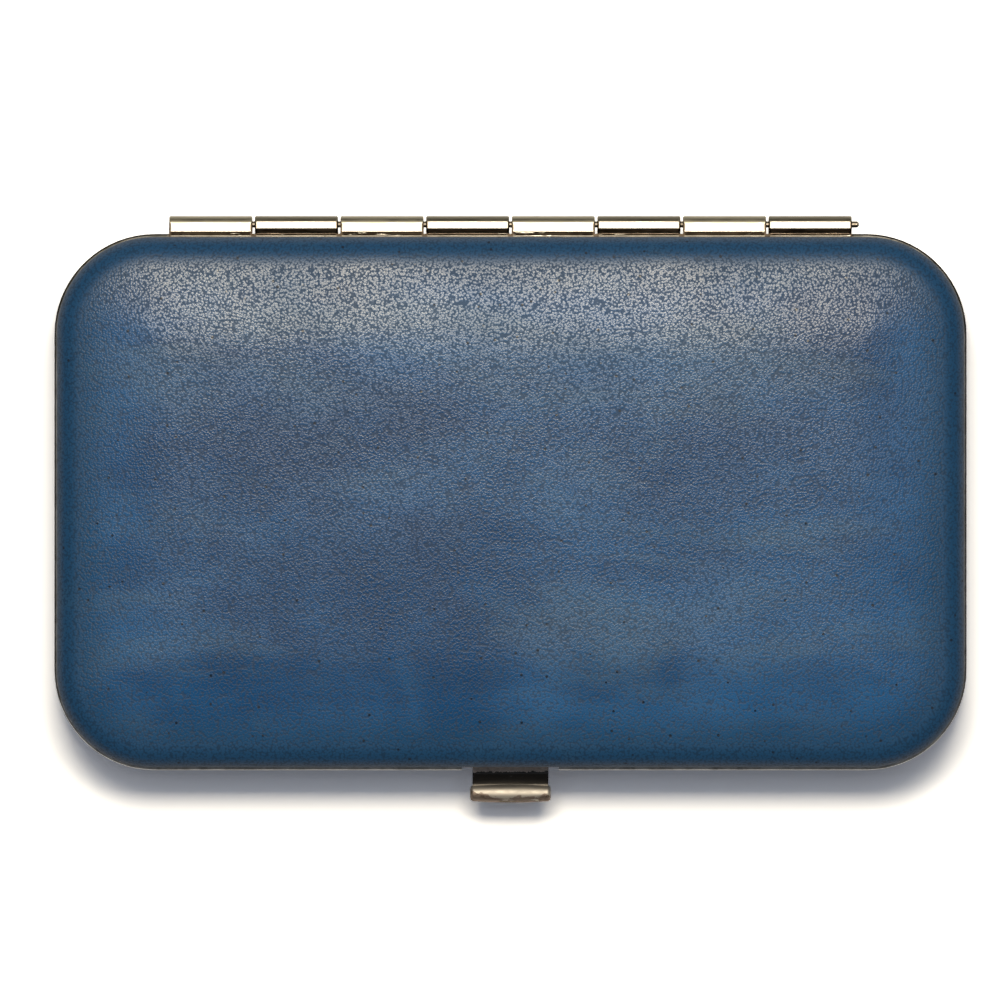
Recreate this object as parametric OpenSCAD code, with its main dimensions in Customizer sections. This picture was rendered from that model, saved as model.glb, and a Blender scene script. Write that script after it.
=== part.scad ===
// Manicure set case: two leather-covered halves held in plated rim frames, with a knuckle hinge
// along the back and a sprung push catch at the front. All lengths are in millimetres.
// The closed case lies on its base half. The hinge runs along X, the catch faces -Y, Z is up,
// and the origin is the middle of the flat underside.

/* [Case] */
// Length of the leather cover, along the hinge
case_l = 113; // [108:0.5:140]
// Width of the leather cover, from the catch to the hinge
case_w = 66; // [66:0.5:85]
// Height of each half, from the parting plane to its face
half_h = 10; // [10:0.25:14]
// Corner radius of the leather cover, seen from above
corner_r = 12; // [10:0.25:14]
// Radius where the side wall rolls over into the face
edge_r = 3.2; // [2.8:0.1:3.8]
// Width of the soft crown that lies inside the rolled edge
crown_w = 6; // [4:0.25:6.5]
// Radius of that crown: a larger one makes a flatter cushion
crown_r = 45; // [36:1:90]

/* [Walls] */
// Thickness of the leather
leather_t = 0.9; // [0.7:0.05:1.1]
// Thickness of the foam padding at the middle of a face
padding_t = 0.8; // [0.7:0.05:1.2]
// Thickness of the pressed shell
shell_t = 0.8; // [0.6:0.05:0.9]
// Outer bend radius of the pressed shell
shell_bend_r = 2.3; // [1.8:0.1:2.3]
// Gap left between layers that lie against each other
layer_gap = 0.05; // [0.02:0.01:0.08]

/* [Rim frame] */
// How far the frame stands out past the leather
frame_proud = 0.5; // [0.3:0.05:0.8]
// Thickness of the frame's flange, which covers the leather's cut edge
flange_t = 0.55; // [0.45:0.05:0.7]
// Thickness of the frame's inner leg
leg_t = 0.5; // [0.4:0.05:0.6]
// Height of the frame's inner leg
leg_h = 3; // [3:0.1:3.4]
// Gap between the two frames when the case is shut
parting_gap = 0.2; // [0.1:0.05:0.3]

/* [Hinge] */
// Length of the hinge
hinge_l = 85.6; // [70:0.2:88]
// Number of knuckles, shared in turn by the lid and the base
knuckle_count = 8; // [4:2:12]
// Gap between neighbouring knuckles
knuckle_gap = 0.3; // [0.2:0.05:0.6]
// Chamfer on the ends of each knuckle
knuckle_chamfer = 0.12; // [0.05:0.01:0.2]
// Thickness of the hinge leaves
leaf_t = 0.4; // [0.3:0.05:0.5]
// Height of each leaf's turned lip, which is riveted to the frame's leg
leaf_lip_h = 2.2; // [2.1:0.1:2.4]
// Gap between the frames' edge and the knuckles
knuckle_back_gap = 0.15; // [0.1:0.05:0.4]
// Diameter of the hinge pin
pin_d = 0.8; // [0.6:0.05:1]
// Radial running clearance of the pin
pin_gap = 0.04; // [0.02:0.01:0.08]
// How far the pin stands out of the last knuckle
pin_proud = 0.9; // [0:0.1:2]

/* [Rivets] */
// Diameter of the rivets
rivet_d = 1.2; // [1:0.05:1.3]
// Diameter of the rivet heads
rivet_head_d = 1.8; // [1.7:0.05:1.9]
// Height of the rivet heads
rivet_head_t = 0.25; // [0.15:0.05:0.3]
// Radial gap of a rivet in its holes
rivet_gap = 0.02; // [0.01:0.01:0.04]
// Number of rivets in each hinge leaf
hinge_rivets = 5; // [3:1:7]
// Spacing of the hinge rivets
hinge_rivet_pitch = 18; // [14:0.5:18]
// Spacing of the two rivets in the catch bracket
bracket_rivet_pitch = 9; // [6:0.5:11]
// Spacing of the two rivets in the strike plate
strike_rivet_pitch = 3.8; // [3:0.1:4.2]

/* [Catch] */
// Width of the thumb tab
tab_w = 10.1; // [9:0.1:11]
// Thickness of the catch's sheet
tab_t = 0.45; // [0.35:0.05:0.5]
// Length of the tab between the frame and the lip, seen from above
tab_l = 1.8; // [1.7:0.1:4]
// How steeply the tab slopes down to the lip
tab_slope = 32; // [20:1:36]
// Diameter of the tab's rolled lip at its middle
lip_d = 2.4; // [2.1:0.1:2.8]
// Angle over the lip's axis at which the sloping tab meets it
lip_seat = 20; // [16:1:30]
// How much the lip stands out past the tab, on each side
lip_side = 0.3; // [0.2:0.05:0.4]
// How much thinner the lip is towards its ends, on the radius
lip_crown = 0.2; // [0.1:0.05:0.4]
// Rounding of the lip's ends
lip_end_r = 0.5; // [0.3:0.05:0.7]
// Room beside the tab in the frames' slot, on each side
slot_play = 1; // [0.6:0.1:1.2]
// Running gap of the sliding catch in its guides
slide_gap = 0.05; // [0.03:0.01:0.08]
// How far the catch slides in when the tab is pressed
tab_travel = 0.9; // [0.8:0.05:1]
// Thickness of the strike plate and of the bracket
plate_t = 0.4; // [0.3:0.05:0.5]
// Height of the strike plate's ledge over the parting plane
ledge_z = 1.2; // [1:0.05:1.3]
// How far the ledge reaches in from its plate
ledge_reach = 1.1; // [0.9:0.05:1.3]
// Width of the hook
hook_w = 5.4; // [4:0.1:6]
// Width of the strike plate
strike_w = 6.4; // [6.2:0.1:8]
// How far the hook's nose lies over the ledge
hook_overlap = 0.55; // [0.4:0.05:0.6]
// Gap between the ledge and the hook's stem
hook_gap = 0.35; // [0.25:0.05:0.5]
// Gap between the ledge and the nose above it
nose_gap = 0.15; // [0.1:0.05:0.2]
// Height of the hook's nose
nose_h = 0.55; // [0.4:0.05:0.7]
// How far the catch's shoulders reach past the slot
shoulder_grip = 0.85; // [0.7:0.05:1]
// Height of the guides' lips over the shoulders
guide_lip_t = 0.3; // [0.2:0.05:0.4]
// Space left for the flattened spring when the tab is pressed
spring_flat_space = 0.95; // [0.7:0.05:1.2]
// Half of the bow spring's length
spring_half_l = 5.5; // [4.5:0.1:5.8]
// Thickness of the bow spring
spring_t = 0.2; // [0.15:0.01:0.25]
// Height of the bow spring
spring_h = 1.5; // [1:0.1:1.6]

/* [Tool tray] */
// Depth of the tray's deck below the parting plane
tray_drop = 1.5; // [1.2:0.1:2]
// Gap between the tray and the frame
tray_gap = 0.35; // [0.32:0.01:0.5]
// Bottom corner radius of the tray
tray_bend_r = 1.5; // [1.2:0.1:2]
// Depth of the tool pockets
pocket_depth = 5.1; // [4.2:0.1:5.2]
// Length of the cuticle pusher's pocket
pusher_l = 96; // [80:0.5:98]
// Width of the cuticle pusher's pocket
pusher_w = 6; // [5:0.1:6.5]
// Length of the nail file's pocket
file_l = 96; // [80:0.5:98]
// Width of the nail file's pocket
file_w = 7; // [6:0.1:7.5]
// Length of the tweezers' pocket
tweezers_l = 62; // [50:0.5:66]
// Width of the tweezers' pocket
tweezers_w = 7; // [6:0.1:7.5]
// Length of the nail clippers' pocket
clippers_l = 56; // [48:0.5:60]
// Width of the nail clippers' pocket
clippers_w = 11; // [10:0.1:11.5]
// Diameter of the pockets for the scissors' finger rings
ring_d = 17; // [15:0.1:17.5]
// Distance between the middles of the finger rings
ring_pitch = 16; // [14:0.1:16.5]
// Length of the scissors' pocket, over all
scissors_l = 96; // [84:0.5:98]
// Width of the scissors' pocket at the pivot
pivot_w = 10; // [8:0.1:10.4]
// Width of the scissors' pocket at the tips
tip_w = 5; // [4.6:0.1:6]

/* [Lid lining] */
// Thickness of the board behind the lining
board_t = 1; // [0.8:0.05:1.2]
// Thickness of the lining
lining_t = 0.6; // [0.5:0.05:0.7]
// Outer bend radius of the lining
lining_bend_r = 1.2; // [1:0.05:1.3]
// Width of the elastic band that forms the tool loops
band_w = 12; // [8:0.5:20]
// Thickness of the elastic band
band_t = 0.7; // [0.5:0.05:0.8]
// Number of loops in the band
loop_count = 5; // [2:1:5]
// Spacing of the loops
loop_pitch = 18; // [14:0.5:20]
// Inner radius of a loop
loop_r = 4; // [3.5:0.1:4.4]
// Height of a loop's straight sides, over the lining
loop_leg = 1; // [0.8:0.05:1.2]

/* [Hidden] */
$fn = 72;

// Colours
leather_blue = [0.15, 0.28, 0.45];
nickel = [0.78, 0.76, 0.73];
steel_grey = [0.55, 0.56, 0.58];
foam_white = [0.88, 0.87, 0.83];
board_grey = [0.62, 0.58, 0.52];
velour = [0.10, 0.11, 0.14];
elastic_black = [0.06, 0.06, 0.07];

// Cuts run past the faces that they open by this much
past = 1;

// Half the distances between the axes of the four corners
core_x = case_l / 2 - corner_r;
core_y = case_w / 2 - corner_r;

// The layers of the wall, as distances from a corner's axis
shell_out = corner_r - leather_t - layer_gap;
shell_in = shell_out - shell_t;
leg_out = shell_in - layer_gap;
leg_in = leg_out - leg_t;
frame_out = corner_r + frame_proud;

// Heights in one half, counted from its face
flange_z = half_h - parting_gap / 2 - flange_t;
wall_top = flange_z - layer_gap;
leg_z = flange_z - leg_h;
padding_top = leather_t + layer_gap + padding_t;
shell_z = padding_top + layer_gap;
floor_z = shell_z + shell_t + layer_gap;

// The crown's arc starts at crown_x and ends where the rolled edge takes over, square to edge_x
edge_x = corner_r - edge_r;
crown_x = edge_x - crown_w;
edge_z = crown_r - sqrt(pow(crown_r - edge_r, 2) - pow(crown_w, 2));

// Hinge
knuckle_r = leaf_t + flange_t + parting_gap / 2;
hinge_y = core_y + frame_out + knuckle_back_gap + knuckle_r;
knuckle_pitch = hinge_l / knuckle_count;
knuckle_l = knuckle_pitch - knuckle_gap;
leaf_l = hinge_l - knuckle_gap;
leaf_z = flange_z - leaf_t;
leaf_bend_r = 1.5 * leaf_t;
hinge_rivet_z = leaf_z - leaf_lip_h / 2;
clinch_t = 0.2;
clinch_d = 1.6;

// Catch. The catch's front is towards -Y, so its places are negative
frame_front = -(core_y + frame_out);
leg_front = -(core_y + leg_in);
leg_outside = -(core_y + leg_out);
slot_w = tab_w + 2 * slot_play;
blade_z = flange_z + slide_gap;
blade_top = blade_z + tab_t;
// The tab bends down where it stays clear of the leather when it is pressed, and meets the lip
// at (foot_y, foot_z)
neck_gap = 0.1;
bend_y = -(core_y + corner_r) - tab_travel - neck_gap;
bend_miter = tab_t * tan(tab_slope / 2);
foot_y = frame_front - tab_l;
foot_z = blade_top - (bend_y - foot_y) * tan(tab_slope);
lip_y = foot_y - lip_d / 2 * cos(lip_seat);
lip_z = foot_z - lip_d / 2 * sin(lip_seat);
tongue_y = lip_y + lip_d / 6;
tongue_z = foot_z - (foot_y - tongue_y) * tan(tab_slope);
plate_w = tab_w - 2 * lip_side;
ledge_end = leg_front + plate_t + ledge_reach;
ledge_top = half_h + ledge_z + plate_t;
stem_front = ledge_end + hook_gap;
stem_back = stem_front + tab_t;
nose_front = ledge_end - hook_overlap;
nose_z = ledge_top + nose_gap;
nose_bevel = 0.35;
shoulder_w = slot_w + 2 * shoulder_grip;
shoulder_front = leg_front + slide_gap;
plate_bend_r = 1.5 * plate_t;

bracket_top = flange_z;
spring_space = tab_travel + spring_flat_space;
bracket_wall = stem_back + spring_space;
bracket_back = bracket_wall + plate_t;
bracket_w = shoulder_w + 2 * slide_gap + 2 * plate_t;
bracket_wall_top = half_h + 0.9;
bracket_rivet_z = leg_z + 1;
guide_front = leg_front + plate_t + slide_gap;
guide_lip_l = 1.6;
guide_lip_w = plate_t + slide_gap + 0.8 * shoulder_grip;
guide_lip_z = blade_top + slide_gap;
spring_rise = spring_space - 2 * slide_gap;
spring_r = (pow(spring_rise, 2) - pow(spring_t, 2) + pow(spring_half_l, 2))
    / (2 * (spring_rise - spring_t));
spring_z = bracket_top + 2 * slide_gap;
strike_top = half_h + (half_h - leg_z);
strike_rivet_z = strike_top - 0.95;

// Tool tray. Pockets are placed in rows from the hinge side to the catch side
tray_out = leg_in - tray_gap;
deck_z = half_h - tray_drop;
pocket_z = deck_z - pocket_depth;
tray_half_l = core_x + tray_out;
tray_half_w = core_y + tray_out;
tray_wall = 2;
bracket_room = 0.6;
pusher_y = tray_half_w - tray_wall - pusher_w / 2;
file_y = pusher_y - pusher_w / 2 - tray_wall - file_w / 2;
scissors_y = file_y - file_w / 2 - tray_wall / 2 - (ring_pitch + ring_d) / 2;
pocket_left = -tray_half_l + 3 * tray_wall;
ring_x = pocket_left + ring_d / 2;
pivot_x = ring_x + 1.4 * ring_d;
tip_x = pocket_left + scissors_l - tip_w / 2;
right_x = pocket_left + scissors_l;
tweezers_y = scissors_y + pivot_w / 2 + tray_wall + tweezers_w / 2;
clippers_y = scissors_y - pivot_w / 2 - tray_wall - clippers_w / 2;

// Lid
board_out = shell_in - (shell_bend_r - shell_t);
board_top = floor_z + board_t;
lining_z = board_top + layer_gap;
lining_top = leg_z - layer_gap;
lining_face = lining_z + lining_t;
band_z = lining_face + layer_gap;
loop_axis_z = lining_face + loop_leg;
band_half_l = (loop_count - 1) / 2 * loop_pitch + loop_r + band_t + 5;

// Where things repeat
function centred(count, pitch) = [for (i = [0:count - 1]) (i - (count - 1) / 2) * pitch];
function knuckle_x(i) = (i + 0.5) * knuckle_pitch - hinge_l / 2;

// ---- Shared shapes ------------------------------------------------------------------------

// Sweeps a section round the case. In the section, x runs outwards from the corners' axes and
// y is the height over the half's face.
module around() {
    for (mx = [0, 1], my = [0, 1])
        mirror([mx, 0, 0]) mirror([0, my, 0])
            translate([core_x, core_y, 0]) rotate_extrude(angle = 90) children();
    for (my = [0, 1])
        mirror([0, my, 0]) translate([0, core_y, 0])
            rotate([90, 0, 90]) linear_extrude(2 * core_x, center = true) children();
    for (mx = [0, 1])
        mirror([mx, 0, 0]) translate([core_x, 0, 0])
            rotate([90, 0, 0]) linear_extrude(2 * core_y, center = true) children();
}

// The rectangle between the four corner axes, from height z0 to z1
module core(z0, z1) {
    translate([-core_x, -core_y, z0]) cube([2 * core_x, 2 * core_y, z1 - z0]);
}

// Turns a piece made as a base half into its twin in the lid
module in_lid() {
    translate([0, 0, 2 * half_h]) mirror([0, 0, 1]) children();
}

// Places children with their x and y as world Y and Z, extruded along X over the length l
module along_x(l) {
    rotate([90, 0, 90]) linear_extrude(l, center = true) children();
}

// A point on the line from the crown's middle through the rolled edge's, past the face
function past_face() =
    let (t = (crown_r + past) / (crown_r - edge_r))
    [crown_x + t * crown_w, crown_r + t * (edge_z - crown_r)];

// Section of a face: flat at the middle, then the crown. It lies inset from the outer surface.
module face_section(inset, top) {
    translate([0, inset]) square([crown_x, top - inset]);
    intersection() {
        translate([crown_x, crown_r]) circle(crown_r - inset, $fn = 360);
        polygon([[crown_x, -past], past_face(), [edge_x, edge_z],
                 [edge_x, max(top, edge_z)], [crown_x, max(top, edge_z)]]);
        translate([crown_x, -past]) square([crown_w + past, top + past]);
    }
}

// Section of a whole half, inset from the leather's outer surface
module half_section(inset, top) {
    face_section(inset, top);
    intersection() {
        translate([edge_x, edge_z]) circle(edge_r - inset);
        polygon([[edge_x, edge_z], past_face(), [corner_r + past, -past],
                 [corner_r + past, edge_z]]);
    }
    translate([edge_x, edge_z]) square([edge_r - inset, top - edge_z]);
}

// Section of a dish with a round bend of radius r between its floor and its wall
module dish_section(out, z0, r, top) {
    translate([0, z0]) square([out - r, top - z0]);
    translate([out - r, z0 + r]) square([r, top - z0 - r]);
    intersection() {
        translate([out - r, z0 + r]) circle(r);
        translate([out - r, z0]) square(r);
    }
}

// Section of sheet metal bent square, as an L whose corner is at the origin
module angle_section(across, up, t, bend_r) {
    translate([bend_r, 0]) square([across - bend_r, t]);
    translate([0, bend_r]) square([t, up - bend_r]);
    intersection() {
        difference() {
            translate([bend_r, bend_r]) circle(bend_r);
            translate([bend_r, bend_r]) circle(bend_r - t);
        }
        square(bend_r);
    }
}

// Row of rivets or of their holes along X, pointing along Y from y0 to y1
module pins_along_y(places, z, r, y0, y1) {
    for (x = places)
        translate([x, y0, z]) rotate([-90, 0, 0]) cylinder(r = r, h = y1 - y0);
}

// ---- Pieces that both halves have ---------------------------------------------------------

// Room for the hinge leaf, cut into a half's wall from height z0 up
module leaf_room(z0) {
    translate([-leaf_l / 2 - knuckle_gap, core_y + leg_out - past, z0])
        cube([leaf_l + 2 * knuckle_gap, corner_r, half_h]);
}

module half_leather() {
    difference() {
        union() {
            around() difference() {
                half_section(0, wall_top);
                translate([-past, 0]) square([past, half_h]);
                intersection() {
                    half_section(leather_t, wall_top + past);
                    square([corner_r, half_h]);
                }
            }
            core(0, leather_t);
        }
        leaf_room(leaf_z - layer_gap);
    }
}

module half_padding() {
    around() face_section(leather_t + layer_gap, padding_top);
    core(leather_t + layer_gap, padding_top);
}

module half_shell() {
    difference() {
        union() {
            around() difference() {
                dish_section(shell_out, shell_z, shell_bend_r, wall_top);
                dish_section(shell_in, shell_z + shell_t, shell_bend_r - shell_t, wall_top + past);
            }
            core(shell_z, shell_z + shell_t);
        }
        leaf_room(leaf_z - leaf_lip_h - layer_gap);
    }
}

module frame_section() {
    bead_r = flange_t / 2;
    translate([leg_in, leg_z]) square([leg_t, leg_h]);
    translate([leg_in, flange_z]) square([frame_out - bead_r - leg_in, flange_t]);
    intersection() {
        translate([frame_out - bead_r, flange_z + bead_r]) circle(bead_r);
        translate([frame_out - bead_r, flange_z]) square([bead_r, flange_t]);
    }
}

module half_frame() {
    difference() {
        around() frame_section();
        pins_along_y(centred(hinge_rivets, hinge_rivet_pitch), hinge_rivet_z,
                     rivet_d / 2 + rivet_gap, core_y + leg_in - past, core_y + leg_out + past);
    }
}

// One knuckle along X, before the pin's bore is drilled
module knuckle() {
    c = knuckle_chamfer;
    rotate([0, 90, 0]) translate([0, 0, -knuckle_l / 2]) rotate_extrude()
        polygon([[0, 0], [knuckle_r - c, 0], [knuckle_r, c], [knuckle_r, knuckle_l - c],
                 [knuckle_r - c, knuckle_l], [0, knuckle_l]]);
}

// A hinge leaf: a strip under the flange, a turned lip behind the leg, and every second knuckle
module half_hinge_leaf(first) {
    lip_y = core_y + leg_out;
    difference() {
        union() {
            translate([0, lip_y, flange_z]) mirror([0, 0, 1]) along_x(leaf_l)
                angle_section(frame_out - leg_out, leaf_t + leaf_lip_h, leaf_t, leaf_bend_r);
            for (i = [first:2:knuckle_count - 1]) {
                translate([knuckle_x(i), hinge_y, half_h]) knuckle();
                translate([knuckle_x(i) - knuckle_l / 2, core_y + frame_out, leaf_z])
                    cube([knuckle_l, knuckle_back_gap + knuckle_r, leaf_t]);
            }
        }
        translate([-hinge_l / 2 - past, hinge_y, half_h]) rotate([0, 90, 0])
            cylinder(r = pin_d / 2 + pin_gap, h = hinge_l + 2 * past);
        pins_along_y(centred(hinge_rivets, hinge_rivet_pitch), hinge_rivet_z,
                     rivet_d / 2 + rivet_gap, lip_y - past, lip_y + leaf_t + past);
    }
}

// Rivets through the frame's leg and the leaf's lip, clinched on the outside
module half_hinge_rivets() {
    places = centred(hinge_rivets, hinge_rivet_pitch);
    inner = core_y + leg_in;
    outer = core_y + leg_out + leaf_t;
    pins_along_y(places, hinge_rivet_z, rivet_head_d / 2, inner - rivet_head_t, inner);
    pins_along_y(places, hinge_rivet_z, rivet_d / 2, inner - rivet_head_t, outer);
    pins_along_y(places, hinge_rivet_z, clinch_d / 2, outer, outer + clinch_t);
}

// Rivets that hold a plate against the inside of the front leg, flush on the outside
module front_rivets(pitch, z) {
    places = centred(2, pitch);
    plate_face = leg_front + plate_t;
    pins_along_y(places, z, rivet_d / 2, leg_outside, plate_face + rivet_head_t);
    pins_along_y(places, z, rivet_head_d / 2, plate_face, plate_face + rivet_head_t);
}

module front_rivet_holes(pitch, z) {
    pins_along_y(centred(2, pitch), z, rivet_d / 2 + rivet_gap,
                 leg_outside - past, leg_front + plate_t + past);
}

// ---- Base half ----------------------------------------------------------------------------

module base_leather() {
    color(leather_blue) half_leather();
}

module base_padding() {
    color(foam_white) half_padding();
}

module base_shell() {
    color(steel_grey) half_shell();
}

module base_frame() {
    color(nickel) difference() {
        half_frame();
        // slot that the tab slides in
        translate([-slot_w / 2, frame_front - past, flange_z])
            cube([slot_w, leg_front - frame_front + 2 * past, half_h]);
        front_rivet_holes(bracket_rivet_pitch, bracket_rivet_z);
    }
}

module base_hinge_leaf() {
    color(nickel) half_hinge_leaf(1);
}

module base_hinge_rivets() {
    color(nickel) half_hinge_rivets();
}

module hinge_pin() {
    r = pin_d / 2;
    c = r / 2;
    l = hinge_l - knuckle_gap + pin_proud;
    color(nickel) translate([-leaf_l / 2, hinge_y, half_h]) rotate([0, 90, 0]) rotate_extrude()
        polygon([[0, 0], [r - c, 0], [r, c], [r, l - c], [r - c, l], [0, l]]);
}

// A stadium-shaped pocket that opens through the tray's deck
module long_pocket(x0, x1, y, w) {
    h = pocket_depth + past;
    translate([x0 + w / 2, y, pocket_z]) cylinder(d = w, h = h);
    translate([x1 - w / 2, y, pocket_z]) cylinder(d = w, h = h);
    translate([x0 + w / 2, y - w / 2, pocket_z]) cube([x1 - x0 - w, w, h]);
}

// Two finger rings, the handles that run together to the pivot, and the tapering blades
module scissors_pocket() {
    h = pocket_depth + past;
    for (side = [-1, 1])
        translate([ring_x, scissors_y + side * ring_pitch / 2, pocket_z])
            cylinder(d = ring_d, h = h);
    translate([0, scissors_y, pocket_z]) linear_extrude(h)
        polygon([[ring_x, -ring_pitch / 2], [ring_x + ring_d / 2, -ring_pitch / 2],
                 [pivot_x, -pivot_w / 2], [tip_x, -tip_w / 2], [tip_x, tip_w / 2],
                 [pivot_x, pivot_w / 2], [ring_x + ring_d / 2, ring_pitch / 2],
                 [ring_x, ring_pitch / 2]]);
    translate([tip_x, scissors_y, pocket_z]) cylinder(d = tip_w, h = h);
}

module tool_tray() {
    color(velour) difference() {
        union() {
            around() dish_section(tray_out, floor_z, tray_bend_r, deck_z);
            core(floor_z, deck_z);
        }
        // room for the catch and its bracket
        translate([-bracket_w / 2 - bracket_room, -case_w / 2, floor_z - past])
            cube([bracket_w + 2 * bracket_room, case_w / 2 + bracket_back + bracket_room, half_h]);
        long_pocket(-pusher_l / 2, pusher_l / 2, pusher_y, pusher_w);
        long_pocket(-file_l / 2, file_l / 2, file_y, file_w);
        long_pocket(right_x - tweezers_l, right_x, tweezers_y, tweezers_w);
        long_pocket(right_x - clippers_l, right_x, clippers_y, clippers_w);
        scissors_pocket();
    }
}

// ---- Catch --------------------------------------------------------------------------------

// A shelf under the sliding catch, riveted to the leg, with side guides and a back wall
module catch_bracket() {
    drop = bracket_top - leg_z;
    depth = bracket_back - leg_front;
    color(nickel) difference() {
        union() {
            translate([0, leg_front, bracket_top]) mirror([0, 0, 1]) along_x(bracket_w)
                angle_section(depth - plate_bend_r, drop, plate_t, plate_bend_r);
            translate([0, bracket_back, bracket_top - plate_t]) mirror([0, 1, 0])
                along_x(bracket_w)
                    angle_section(plate_bend_r + past, bracket_wall_top - bracket_top + plate_t,
                                  plate_t, plate_bend_r);
            for (mx = [0, 1]) mirror([mx, 0, 0]) {
                translate([bracket_w / 2 - plate_t, guide_front, bracket_top - plate_t])
                    cube([plate_t, bracket_wall - guide_front,
                          guide_lip_z + guide_lip_t - bracket_top + plate_t]);
                translate([bracket_w / 2 - guide_lip_w, guide_front, guide_lip_z])
                    cube([guide_lip_w, guide_lip_l, guide_lip_t]);
            }
        }
        front_rivet_holes(bracket_rivet_pitch, bracket_rivet_z);
    }
}

module catch_bracket_rivets() {
    color(nickel) front_rivets(bracket_rivet_pitch, bracket_rivet_z);
}

// A bowed strip between the catch and the bracket's back wall
module catch_spring() {
    crest = stem_back + slide_gap;
    color(steel_grey) translate([0, crest + spring_r, spring_z]) linear_extrude(spring_h)
        intersection() {
            difference() {
                circle(spring_r);
                circle(spring_r - spring_t);
            }
            translate([-spring_half_l, -spring_r - past])
                square([2 * spring_half_l, spring_rise + past]);
        }
}

// The rolled lip, thickest at its middle and round at its ends
module rolled_lip() {
    half = tab_w / 2;
    bow_r = (half * half + lip_crown * lip_crown) / (2 * lip_crown);
    end_x = half - lip_end_r;
    end_r = lip_d / 2 - bow_r + sqrt(bow_r * bow_r - end_x * end_x);
    rotate([0, 90, 0]) rotate_extrude() {
        intersection() {
            translate([lip_d / 2 - bow_r, 0]) circle(bow_r, $fn = 720);
            translate([0, -end_x]) square([lip_d, 2 * end_x]);
        }
        for (my = [0, 1]) mirror([0, my]) {
            translate([0, end_x]) square([end_r - lip_end_r, lip_end_r]);
            intersection() {
                translate([end_r - lip_end_r, end_x]) circle(lip_end_r);
                translate([end_r - lip_end_r, end_x]) square(lip_end_r);
            }
        }
    }
}

// Thumb tab, blade, shoulders and hook, pressed from one sheet
module catch_lever() {
    color(nickel) {
        translate([0, lip_y, lip_z]) rolled_lip();
        along_x(plate_w)
            polygon([[stem_back, blade_z], [stem_back, blade_top], [bend_y, blade_top],
                     [tongue_y, tongue_z], [tongue_y, tongue_z - tab_t / cos(tab_slope)],
                     [bend_y + bend_miter, blade_z]]);
        translate([-shoulder_w / 2, shoulder_front, blade_z])
            cube([shoulder_w, stem_back - shoulder_front, tab_t]);
        along_x(hook_w) {
            translate([stem_front, blade_z]) square([tab_t, nose_z + nose_h - blade_z]);
            polygon([[stem_front, nose_z], [nose_front, nose_z],
                     [nose_front, nose_z + nose_h - nose_bevel],
                     [nose_front + nose_bevel, nose_z + nose_h], [stem_front, nose_z + nose_h]]);
        }
    }
}

// ---- Lid half -----------------------------------------------------------------------------

module lid_leather() {
    color(leather_blue) in_lid() half_leather();
}

module lid_padding() {
    color(foam_white) in_lid() half_padding();
}

module lid_shell() {
    color(steel_grey) in_lid() half_shell();
}

module lid_frame() {
    color(nickel) difference() {
        in_lid() half_frame();
        // the flange is cut back to the leather over the tab
        translate([-slot_w / 2, frame_front - past, half_h - past])
            cube([slot_w, frame_proud + past, half_h]);
        front_rivet_holes(strike_rivet_pitch, strike_rivet_z);
    }
}

module lid_hinge_leaf() {
    color(nickel) in_lid() half_hinge_leaf(0);
}

module lid_hinge_rivets() {
    color(nickel) in_lid() half_hinge_rivets();
}

module lid_insert_board() {
    color(board_grey) in_lid() {
        around() translate([0, floor_z]) square([board_out, board_t]);
        core(floor_z, board_top);
    }
}

module lid_lining() {
    color(velour) in_lid() {
        around() difference() {
            dish_section(leg_out, lining_z, lining_bend_r, lining_top);
            dish_section(leg_out - lining_t, lining_face, lining_bend_r - lining_t,
                         lining_top + past);
        }
        core(lining_z, lining_face);
    }
}

// An elastic band that lies on the lining and rises in round loops for slim tools
module tool_band() {
    loops = centred(loop_count, loop_pitch);
    out = loop_r + band_t;
    color(elastic_black) in_lid() rotate([90, 0, 0]) linear_extrude(band_w, center = true) {
        difference() {
            union() {
                translate([-band_half_l, band_z]) square([2 * band_half_l, band_t]);
                for (x = loops)
                    translate([x - out, band_z]) square([2 * out, loop_axis_z - band_z]);
            }
            for (x = loops)
                translate([x - loop_r, band_z - past])
                    square([2 * loop_r, loop_axis_z - band_z + 2 * past]);
        }
        for (x = loops) intersection() {
            translate([x, loop_axis_z]) difference() {
                circle(out);
                circle(loop_r);
            }
            translate([x - out, loop_axis_z]) square([2 * out, out]);
        }
    }
}

// An angle on the lid's front leg, whose ledge the hook's nose lies over
module strike_plate() {
    color(nickel) difference() {
        translate([0, leg_front, half_h + ledge_z]) along_x(strike_w)
            angle_section(plate_t + ledge_reach, strike_top - half_h - ledge_z, plate_t,
                          plate_bend_r);
        front_rivet_holes(strike_rivet_pitch, strike_rivet_z);
    }
}

module strike_plate_rivets() {
    color(nickel) front_rivets(strike_rivet_pitch, strike_rivet_z);
}

// ---- Nodes --------------------------------------------------------------------------------

base_leather();
base_padding();
base_shell();
base_frame();
base_hinge_leaf();
base_hinge_rivets();
hinge_pin();
tool_tray();
catch_bracket();
catch_bracket_rivets();
catch_spring();
catch_lever();
lid_leather();
lid_padding();
lid_shell();
lid_frame();
lid_hinge_leaf();
lid_hinge_rivets();
lid_insert_board();
lid_lining();
tool_band();
strike_plate();
strike_plate_rivets();
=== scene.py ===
"""Looks of a manicure set case: two padded leather halves in plated frames, seen from straight above.

The fixed frame is loaded first. The stiff pieces and the flocked tray keep their solids and get
finishes; the leather covers, the foam, the velour lining, the elastic band with its stitches and the
bow spring are meshes built here, in the places of their solids. Sizes are in millimetres, and MM turns
them into metres. A half is built as the base lies, outer face down, and the lid's is turned over.
"""

import math

import bmesh
import bpy
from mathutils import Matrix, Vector, noise


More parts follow.
